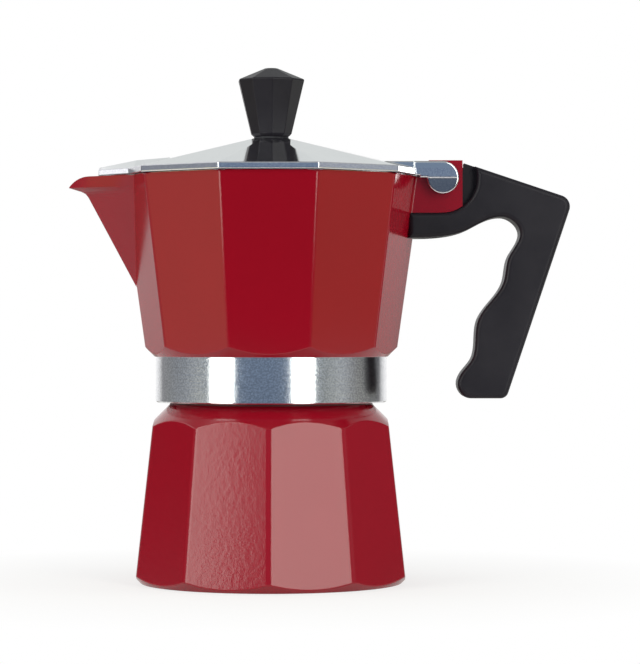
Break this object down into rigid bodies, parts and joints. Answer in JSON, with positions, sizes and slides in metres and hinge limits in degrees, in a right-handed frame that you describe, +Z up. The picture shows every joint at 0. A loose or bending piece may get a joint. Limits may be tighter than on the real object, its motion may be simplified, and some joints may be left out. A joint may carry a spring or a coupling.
{
  "type": "moka pot",
  "caption": "Faceted stovetop moka pot: lacquered boiler and collector that screw together, coffee funnel, filter, hinged polished lid, black knob and handle.",
  "frame": {"origin": "centre of the boiler's underside", "axes": "+Z up, +X from the pot's axis towards the handle, -X towards the spout"},
  "size_m": [0.1554, 0.094, 0.1599],
  "materials": {
    "red_lacquer": "glossy red lacquer on cast aluminium, bare machined skirt",
    "polished_aluminium": "polished cast aluminium",
    "spun_aluminium": "satin spun aluminium",
    "black_plastic": "satin moulded thermoset",
    "steel": "bright zinc-plated steel",
    "brass": "turned brass",
    "rubber": "pale food-grade rubber"
  },
  "bodies": {
    "boiler": {"boiler": "red_lacquer", "valve_body": "brass", "valve_washer": "rubber", "valve_cap": "brass", "valve_spring": "steel"},
    "valve_poppet": {"valve_poppet": "brass"},
    "funnel": {"funnel_basket": "spun_aluminium", "funnel_screen": "spun_aluminium", "funnel_tube": "spun_aluminium"},
    "gasket": {"gasket": "rubber"},
    "filter_plate": {"filter_plate": "spun_aluminium"},
    "collector": {"collector": "red_lacquer", "handle": "black_plastic", "handle_screw": "steel", "handle_washer": "steel"},
    "lid": {"lid": "polished_aluminium", "hinge_pin": "steel", "knob": "black_plastic", "knob_insert": "brass", "knob_screw": "steel", "knob_washer": "steel"}
  },
  "joints": [
    {"name": "collector_lift", "type": "slide", "parent": "boiler", "child": "gasket", "axis": [0, 0, 1], "range_m": [0, 0.14]},
    {"name": "collector_rise", "type": "slide", "parent": "gasket", "child": "filter_plate", "axis": [0, 0, 1], "range_m": [0, 0.006]},
    {"name": "collector_unscrew", "type": "hinge", "parent": "filter_plate", "child": "collector", "pos_m": [0, 0, 0.07], "axis": [0, 0, 1], "range_deg": [0, 540]},
    {"name": "lid_hinge", "type": "hinge", "parent": "collector", "child": "lid", "pos_m": [0.053, 0, 0.1254], "axis": [0, 1, 0], "range_deg": [0, 105]},
    {"name": "funnel_lift", "type": "slide", "parent": "boiler", "child": "funnel", "axis": [0, 0, 1], "range_m": [0, 0.064]},
    {"name": "valve_lift", "type": "slide", "parent": "boiler", "child": "valve_poppet", "axis": [-0.309, 0.9511, 0], "range_m": [0, 0.0015], "stiffness_N_per_m": 1000, "springref_m": -0.002, "deforming": ["valve_spring"]}
  ],
  "couplings": [
    {"joint": "collector_rise", "follows": "collector_unscrew", "m_per_rad": 0.00063662},
    {"joint": "funnel_lift", "follows": "collector_lift", "ratio": 0.45}
  ]
}
